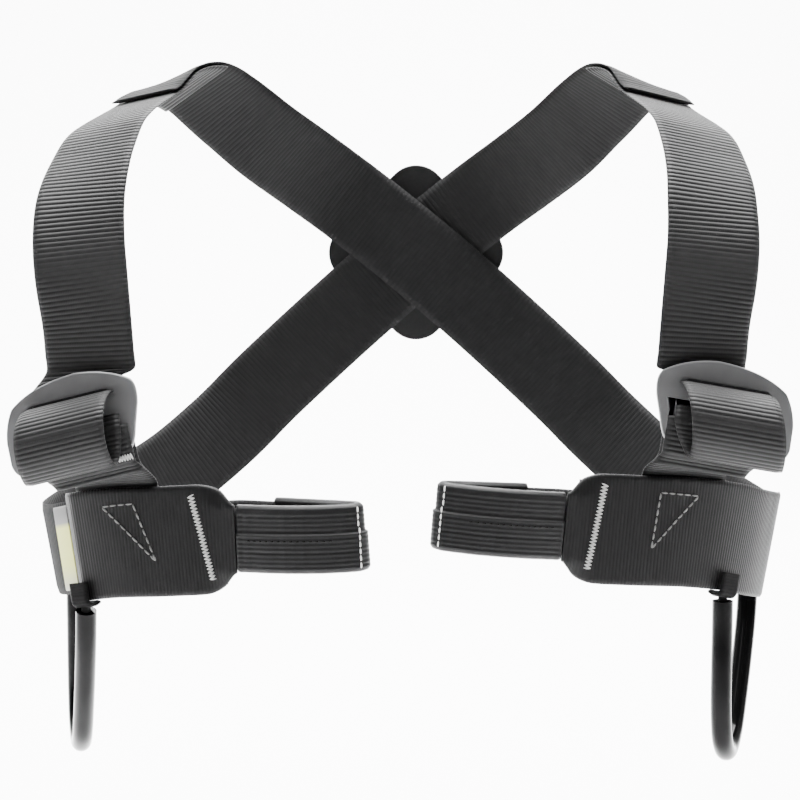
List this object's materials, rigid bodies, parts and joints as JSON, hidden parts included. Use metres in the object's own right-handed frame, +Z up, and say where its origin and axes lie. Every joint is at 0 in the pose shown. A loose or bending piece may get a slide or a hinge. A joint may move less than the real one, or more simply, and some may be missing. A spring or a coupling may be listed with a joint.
{
  "type": "climbing chest harness",
  "caption": "Climbing chest harness of wide ribbed webbing: straps crossed at a back plate, two slotted buckles, side patches, sleeved front loops and rigid gear loops.",
  "frame": {"origin": "midway between the two shoulder crests, where the worn harness hangs on the shoulders", "axes": "+Z up along the wearer's body, -Y to the front of the chest, +X to the right as seen from the front"},
  "size_m": [0.3922, 0.2303, 0.3632],
  "materials": {
    "webbing": "ribbed woven polyester webbing, soft sheen",
    "patch_cloth": "fine upright ribs, smooth with a side sheen",
    "buckle_metal": "grey satin coated aluminium",
    "tube_plastic": "glossy black tube",
    "cord_and_tabs": "woven tape and cord, matt",
    "label_cloth": "pale woven label, plain"
  },
  "bodies": {
    "root": {"back_strap_left": "webbing", "back_strap_right": "webbing", "back_plate": "webbing", "shoulder_strap_left": "webbing", "shoulder_strap_right": "webbing", "buckle_left": "buckle_metal", "buckle_right": "buckle_metal", "lower_strap_left": "webbing", "lower_strap_right": "webbing", "side_patch_left": "patch_cloth", "side_patch_right": "patch_cloth", "loop_webbing_left": "webbing", "loop_webbing_right": "webbing", "loop_sleeve_left": "patch_cloth", "loop_sleeve_right": "patch_cloth", "gear_tube_left": "tube_plastic", "gear_tube_right": "tube_plastic", "gear_cord_left": "cord_and_tabs", "gear_cord_right": "cord_and_tabs", "gear_tab_front_left": "cord_and_tabs", "gear_tab_front_right": "cord_and_tabs", "gear_tab_rear_left": "cord_and_tabs", "gear_tab_rear_right": "cord_and_tabs", "label": "label_cloth"}
  },
  "joints": []
}
